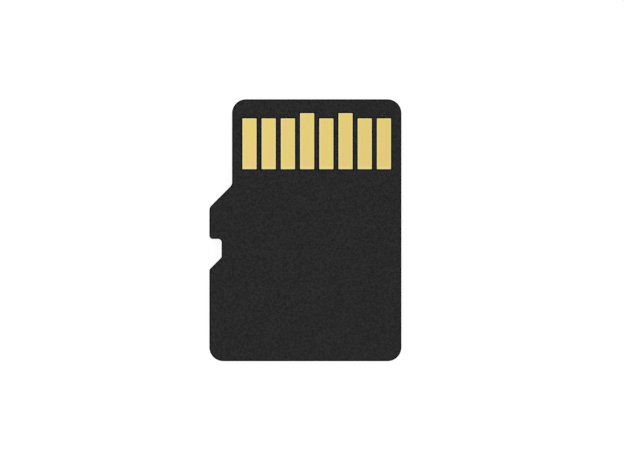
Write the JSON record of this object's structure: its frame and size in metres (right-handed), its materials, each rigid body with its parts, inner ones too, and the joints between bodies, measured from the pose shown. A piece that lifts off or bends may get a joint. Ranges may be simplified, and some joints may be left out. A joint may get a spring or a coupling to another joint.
{
  "type": "memory card",
  "caption": "Thin removable flash memory card with gold edge contacts, a sloping shoulder, a latch notch and a finger lip.",
  "frame": {"origin": "under the middle of the card's outline, at the height of the finger lip, which is the lowest point as the card lies", "axes": "+Y towards the leading edge that goes into the socket, +Z out of the face with the contacts, -X towards the side with the shoulder and the latch notch"},
  "size_m": [0.011, 0.015, 0.001],
  "materials": {
    "moulding": "matte black moulding compound with fine grain",
    "laminate": "dark glass cloth laminate, sawn edge",
    "black_mask": "matte black solder mask with fine grain",
    "green_mask": "satin green solder mask",
    "gold_plate": "soft pale gold plating, faintly brushed",
    "copper": "satin copper",
    "solder": "satin solder",
    "silicon": "ground silicon, dull grey",
    "film": "die attach film, matte",
    "capacitor_ceramic": "tan ceramic with tinned ends",
    "resistor_ceramic": "black glazed ceramic with tinned ends",
    "gold_wire": "bright gold wire"
  },
  "bodies": {
    "root": {"moulded_cover": "moulding", "circuit_board": "laminate", "contact_side_mask": "black_mask", "chip_side_mask": "green_mask", "contact_1": "gold_plate", "contact_2": "gold_plate", "contact_3": "gold_plate", "contact_4": "gold_plate", "contact_5": "gold_plate", "contact_6": "gold_plate", "contact_7": "gold_plate", "contact_8": "gold_plate", "bus_traces": "copper", "passive_lands": "copper", "solder_joints": "solder", "capacitor_1": "capacitor_ceramic", "capacitor_2": "capacitor_ceramic", "capacitor_3": "capacitor_ceramic", "capacitor_4": "capacitor_ceramic", "resistor_1": "resistor_ceramic", "resistor_2": "resistor_ceramic", "controller_film": "film", "controller_chip": "silicon", "controller_bus_wires": "gold_wire", "controller_contact_wires": "gold_wire", "memory_film_1": "film", "memory_film_2": "film", "memory_film_3": "film", "memory_film_4": "film", "memory_chip_1": "silicon", "memory_chip_2": "silicon", "memory_chip_3": "silicon", "memory_chip_4": "silicon", "memory_wires_1": "gold_wire", "memory_wires_2": "gold_wire", "memory_wires_3": "gold_wire", "memory_wires_4": "gold_wire"}
  },
  "joints": []
}
